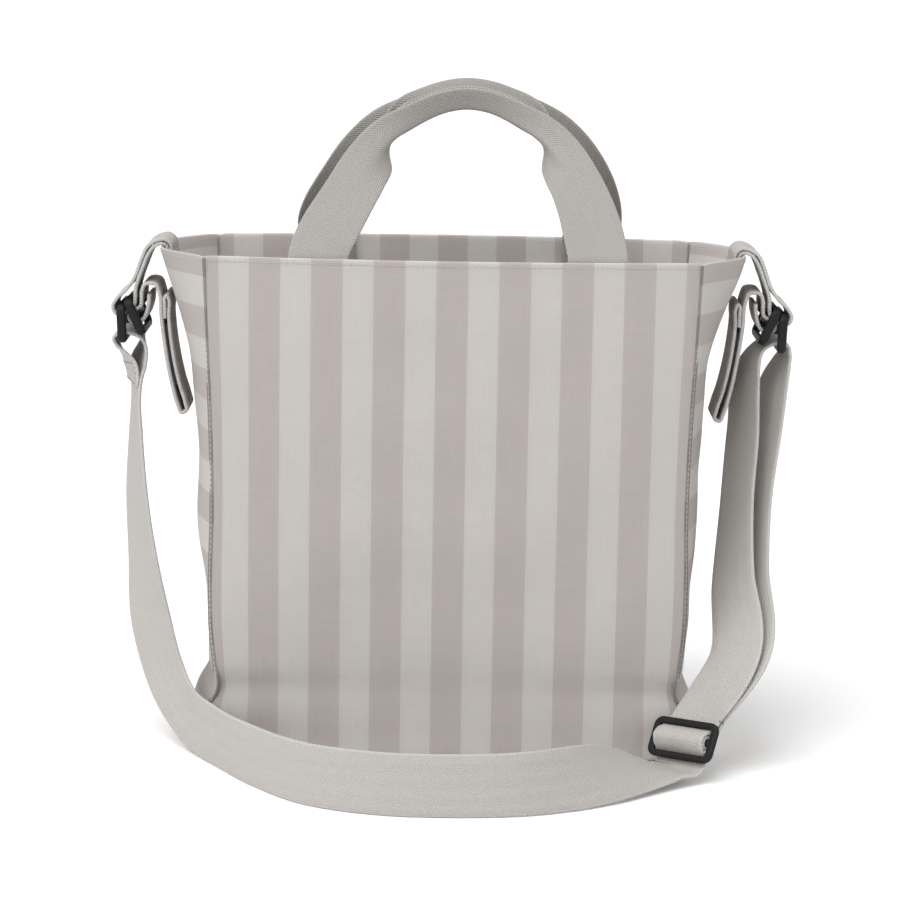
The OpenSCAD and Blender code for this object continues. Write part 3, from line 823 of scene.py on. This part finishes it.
for where, flip in (("front", 1), ("back", -1)):
    stretch = (1.0, 1.0) if flip > 0 else (BACK_TALLER, BACK_WIDER)
    band = Band(handle_stations(flip, *stretch), fine=2.2, coarse=3.0)
    if flip < 0:
        band.up = -band.up
    handle = band.mesh(where + "_handle_webbing", handle_tape_painted_shade, 27)
    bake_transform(handle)
    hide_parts(where + "_handle", where + "_handle_ends")
    # Each end is sewn down with a box of stitches, on the inside of the wall
    marks = []
    for ends in ((2.5, 41), (band.run[-1] - 41, band.run[-1] - 2.5)):
        inside = WEB_T / 2 + LIFT
        marks += band.stitches(np.arange(*ends, PITCH), (-BOX_ROW, BOX_ROW), inside, True)
        marks += band.stitches(ends, np.arange(-BOX_ROW, BOX_ROW + 0.5, PITCH), inside, False)
        # The cross inside the box
        for t in np.linspace(0.04, 0.96, 14):
            for sign in (-1, 1):
                tall = ends[1] - ends[0]
                p, ahead, sideways, up = band.at(ends[0] + tall * t, sign * BOX_ROW * (2 * t - 1), inside)
                marks.append((p, ahead * tall + sideways * sign * 2 * BOX_ROW, up))
    sewn = stitch_mesh(where + "_handle_stitching", marks, pale_thread)
    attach(sewn, "bag")

# ---- Side hardware ---------------------------------------------------------

# Profiles are [out from the rim's middle, up from the rim], for webbing at y = 0
TAB = [
    (-6.2, 2.6), (-2.8, 4.9), (1, 4.6), (5, 3), (8.8, -0.4), (11.6, -6), (13.8, -12),
    (17, -20.5), (22.5, -28.5), (29, -35), (31.2, -40), (29.5, -44), (25.5, -44.5),
    (22, -42.4), (19.7, -40.7), (17.2, -38.4), (16.6, -34), (16.3, -28), (14.5, -21.5),
    (11.3, -12.9), (9, -6.9), (6.4, -2.3), (3.2, 0.9), (0, 2.2), (-3.2, 1.6),
]
PRAM_END = [
    (7.4, -31.5), (7.6, -37), (8.9, -43), (10.8, -47.4), (13, -49.4), (16.6, -50.5),
    (20, -48.4), (20, -43.8), (16.5, -41.7), (13, -39.2), (12.4, -35), (12.2, -29.5),
    (10, -24.8),
]
PRAM_STRAP = [
    (6.5, -24), (3, -24.8), (0.6, -30), (-0.6, -45), (-3, -65), (-8, -92), (-11.3, -104),
    (-14.3, -109.8), (-17.2, -108.4), (-16.4, -103), (-12.8, -91), (-7.6, -65), (-5.6, -45),
    (-5.4, -34), (-4.3, -31.8), (-3.0, -33.2), (-2.9, -38), (-3.0, -47),
]
# The two faces between which the hook tape and the loop tape meet
OUTER_FACE = ((-1.3, -51), (-3.2, -66), (-8, -91))
INNER_FACE = ((-6.1, -51), (-7.8, -66), (-12.7, -91))
# Webbing round a ring: out from the rim, up from it, and how far it has turned towards the front
LEFT_LOOP = [
    (20, -93, 0.24), (20.3, -85, 0.3), (22.6, -78, 0.34), (27, -71.5, 0.24), (30.6, -66, 0.1),
    (30.8, -60.8, 0), (26.5, -57.4, 0), (19.5, -57.4, 0), (14.4, -60, 0.04), (12.6, -65, 0.14),
    (13.6, -71.5, 0.26), (15.8, -78, 0.34), (17.3, -85, 0.3),
]
RIGHT_LOOP = [
    (4.6, -84, 0.36), (6.0, -76, 0.28), (8.6, -68.5, 0.16), (12.8, -62, 0.04), (18.5, -58.3, 0),
    (24.8, -57.4, 0), (29.5, -59.2, 0), (30.6, -64, 0.02), (28.2, -72, 0.16), (24, -84, 0.34),
]


def beside(path, side, width=WEB_W, thick=THICK):
    """Stations of a band from a profile beside the rim, with any turn towards the front."""
    return [
        [side * (RIM_X + x), 0, HEIGHT + z, -turn[0] if turn else 0, 1, 0, width, thick]
        for x, z, *turn in path
    ]


def root_inside(side, layer):
    """Where a layer of the tab's root lies inside the gusset."""
    inset = HANDLE_INSET + layer * (WEB_T + GAP)
    return [
        (side * gusset_at[side](0, HEIGHT + z)[0] - inset - RIM_X, z) for z in (-4, -10, -18, -30)
    ]


rows_across = np.arange(-ROW, ROW + 0.5, PITCH)
RING_W, RING_H, RING_BAR = 52, 26, 4
for side, word in ((-1, "left"), (1, "right")):
    path = root_inside(side, 1)[::-1] + TAB + root_inside(side, 0)
    band = Band(beside(path, side))
    tab = band.mesh(word + "_tab_webbing", tape)
    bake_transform(tab)
    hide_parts(word + "_tab", word + "_tab_root")
    # A box of stitches holds the tab's root inside the rim
    low, high = 5.0, 24.0
    out = 1 if np.dot(band.up[2], [side, 0, 0]) < 0 else -1
    marks = band.face_stitches((low, high), rows_across, out, False)
    marks += band.face_stitches(np.arange(low, high, PITCH), (-ROW, ROW), out, True)
    sewn = stitch_mesh(word + "_tab_stitching", marks, pale_thread)
    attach(sewn, "bag")

    # Both hang in the tab from their top bar: its place, the tilt, and any bar in the middle
    for name, (x, z), tilt, bars in (
        ("strap_ring", (25.5, -39.5), 2.5, ()),
        ("pram_buckle", (21.0, -36.0), 25.0, (0.0,)),
    ):
        turn = math.radians(tilt)
        up = np.array([side * math.sin(turn), 0, math.cos(turn)])
        face = np.array([side * math.cos(turn), 0, -math.sin(turn)])
        top_bar = np.array([side * (RIM_X + x), 0, HEIGHT + z])
        ring = moulded(
            f"{word}_{name}_plastic",
            top_bar - up * (RING_H - RING_BAR) / 2,
            (np.array([0, side, 0.0]), up, face),
            RING_W, RING_H, thick=4.3, side_bar=5, bar=RING_BAR, radius=3.2, bars=bars,
            material=black, fuller=1.8,
        )
        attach(ring, f"{word}_{name}")
        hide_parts(f"{word}_{name}")

    band = Band(beside(PRAM_END + PRAM_STRAP, side))
    strap = band.mesh(word + "_pram_webbing", tape)
    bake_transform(strap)
    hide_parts(word + "_pram_end", word + "_pram_strap")
    # The strap's hemmed end is stitched across, through both of its layers
    hem_run = band.run[-1] - 2.5
    out = 1 if np.dot(band.up[-4], [side, 0, 0]) > 0 else -1
    marks = band.face_stitches((hem_run, hem_run - 9), rows_across, out, False)
    sewn = stitch_mesh(word + "_pram_stitching", marks, grey_thread_and_seam_shade)
    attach(sewn, word + "_pram_strap")

    outer, inner = np.array(OUTER_FACE), np.array(INNER_FACE)
    for kind, share, pile in (("hook", 0.4, hooks), ("loop", 0.6, loops)):
        path = outer + (inner - outer) * share
        strip = Band(beside(path, side, WEB_W - 6, 0.9)).mesh(f"{word}_{kind}_pile", pile, 15)
        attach(strip, word + "_pram_strap")
        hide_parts(f"{word}_{kind}_tape")

# ---- Shoulder strap --------------------------------------------------------

HANG_Z = HEIGHT - 84  # where the strap hangs free of the ring
slider_at = np.array([154, -99, 24.5])
slider_along = unit([0.72, -0.66, 0.07])
slider_up = np.array([0.32, 0.35, 0.88])
slider_up = unit(slider_up - slider_along * np.dot(slider_up, slider_along))
slider_face = unit(np.cross(slider_along, slider_up))


def near_slider(up, out):
    """A place up the slider from its middle bar, and out of its face."""
    return slider_at + slider_up * up + slider_face * out


def station(place, across):
    """A station of full-width webbing, lying across that direction."""
    return [*place, *across, WEB_W, THICK]


def at_slider(path):
    """Stations of webbing that lies square across the slider."""
    return [station(near_slider(up, out), -slider_along) for up, out in path]


# From the left ring down to the floor, along it in front of the bag, and up to the slider
run = beside(LEFT_LOOP, -1)
for s in run:
    s[3:6] = [-s[3], -1, 0]
run += [
    station((-RIM_X - 17.8, -0.4, HANG_Z - 14), (0.22, -0.98, 0)),
    station((-RIM_X - 18, -1.4, 205), (0.28, -0.96, 0)),
    station((-RIM_X - 17.2, -4.5, 165), (0.42, -0.91, 0)), station((-205, -9, 122), (0.55, -0.84, 0)),
    station((-198.5, -17, 78), (0.72, -0.68, 0.1)), station((-188, -30, 46), (0.62, -0.6, 0.5)),
    station((-172, -56, 26), (0.3, -0.35, 0.9)), station((-150, -92, 20.2), (0, 0, 1)),
    station((-122, -137, 20.2), (0, 0, 1)), station((-86, -176, 20.2), (0, 0.02, 1)),
    station((-42, -194, 20.2), (0, 0.04, 1)), station((8, -197, 20.2), (0, 0.05, 1)),
    station((52, -190, 20.4), (-0.04, 0.1, 1)), station((84, -171, 19.4), (-0.22, 0.3, 0.92)),
    station((106, -149, 16.9), (-0.5, 0.48, 0.72)), station((124, -127.5, 12.8), (-0.68, 0.58, 0.44)),
    station((137, -114.5, 9.2), (-0.73, 0.65, 0.16)),
    station(near_slider(-17, -4.8) - np.array([1.3, 1.3, 0]), -slider_along),
    station(near_slider(-13, -4.4), -slider_along),
]
lower = Band(run).mesh("shoulder_strap_webbing", tape)
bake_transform(lower)
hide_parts("left_strap_loop", "strap_run")

# Over the slider's bar, up to the right ring, round it, and back down to the slider's bar
rise = at_slider(
    [(-13, -4.4), (-8, -1.4), (-4.6, 3.7), (0, 6.3), (4.6, 3.7), (8, -1.4), (12, -4.6), (17.5, -7.2)]
)
rise += [
    station((188, -73, 74), (-0.7, 0.7, 0)), station((188.5, -38, 118), (-0.55, 0.83, 0)),
    station((191.5, -16, 168), (-0.42, 0.91, 0)), station((195.2, -3, 212), (-0.42, 0.91, 0)),
]
rise += beside(RIGHT_LOOP, 1)
rise += [
    station((210.5, -1, 212), (-0.42, 0.91, 0)),
    station((204.5, -11, 168), (-0.4, 0.92, 0)), station((198.5, -33, 118), (-0.54, 0.83, 0)),
    station((195, -71, 74), (-0.68, 0.72, 0)),
]
rise += at_slider([
    (17.5, -10.8), (10, -8.4), (2.6, -6.4), (3.3, -2.8), (3.7, 0.6), (2.6, 2.8), (0, 3.8),
    (-2.6, 2.8), (-3.7, 0.6), (-3.3, -2.8), (-1.6, -6.2),
])
upper = Band(rise).mesh("strap_return_webbing", tape)
low, high = near_slider(22, 0), near_slider(95, 0)
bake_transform(upper)
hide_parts("slider_pass", "front_rise", "right_strap_loop", "rear_rise", "slider_fold")

slide = moulded(
    "strap_slider_plastic", slider_at, (slider_along, slider_up, slider_face),
    52, 27, thick=3.5, side_bar=5.2, bar=4.6, radius=4, bars=(0.0,), material=black,
)
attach(slide, "slider")
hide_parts("slider")

# The strap's left end is closed with a small box of stitches
band = Band(run)
low, high = 1.5, 14
marks = []
for face_out in (-1, 1):
    marks += band.face_stitches(np.arange(low, high, PITCH), (-ROW, ROW), face_out, True)
    marks += band.face_stitches((low, high), rows_across, face_out, False)
sewn = stitch_mesh("strap_end_stitching", marks, grey_thread_and_seam_shade)
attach(sewn, "strap")

# ---- Floor, light and camera -----------------------------------------------

ground = Nodes("studio_floor")
ground.finish(PAPER, 0.9, specular=0.1)
reach, under = 60000.0, -0.05
corners = [[x * reach, y * reach, under] for x, y in ((-1, -1), (1, -1), (1, 1), (-1, 1))]
floor = piece("studio_floor", corners, [(0, 1, 2, 3)], np.zeros((4, 2)), ground.material)

scene = bpy.context.scene
world = bpy.data.worlds.new("studio")
world.use_nodes = True
scene.world = world
tree = world.node_tree
background = tree.nodes["Background"]
background.inputs["Color"].default_value = (1, 1, 1, 1)
# The sky is white at the horizon and dimmer overhead
where = tree.nodes.new("ShaderNodeTexCoord")
parts = tree.nodes.new("ShaderNodeSeparateXYZ")
tree.links.new(where.outputs["Generated"], parts.inputs[0])
fade = tree.nodes.new("ShaderNodeMapRange")
for key, value in (("From Min", 0.05), ("From Max", 0.4), ("To Min", 1.0), ("To Max", 0.72)):
    fade.inputs[key].default_value = value
tree.links.new(parts.outputs[2], fade.inputs["Value"])
tree.links.new(fade.outputs[0], background.inputs["Strength"])

sun = bpy.data.lights.new("key", "SUN")
sun.energy = math.pi * 0.62
sun.angle = math.radians(60)
key = bpy.data.objects.new("key", sun)
toward = Vector((-0.42, -0.46, 0.80)).normalized()
key.rotation_mode = "QUATERNION"
key.rotation_quaternion = toward.to_track_quat("Z", "Y")
scene.collection.objects.link(key)

# A wide lamp above the mouth of the bag, which lights the inside of the back wall
overhead = bpy.data.lights.new("overhead", "AREA")
overhead.shape = "RECTANGLE"
overhead.size, overhead.size_y = 0.7, 0.4
overhead.energy = 2.2
lamp = bpy.data.objects.new("overhead", overhead)
lamp.location = (0, -0.42, 1.15)
lamp.rotation_euler = Vector((0, 0.44, -0.78)).to_track_quat("-Z", "Y").to_euler()
scene.collection.objects.link(lamp)

lens = bpy.data.cameras.new("camera")
lens.lens, lens.sensor_width, lens.clip_end = 121.5, 36, 200
camera = bpy.data.objects.new("camera", lens)
pitch, roll = math.radians(10.3), math.radians(0.93)
right = Vector((1, 0, 0))
raised = Vector((0, math.sin(pitch), math.cos(pitch)))
ahead = Vector((0, math.cos(pitch), -math.sin(pitch)))
across = right * math.cos(roll) + raised * math.sin(roll)
above = raised * math.cos(roll) - right * math.sin(roll)
eye = (0, -2.0, 0.558)
camera.matrix_world = Matrix.Translation(eye) @ Matrix(
    [[across[i], above[i], -ahead[i]] for i in range(3)]
).to_4x4()
scene.collection.objects.link(camera)
scene.camera = camera
scene.view_settings.view_transform = "Standard"
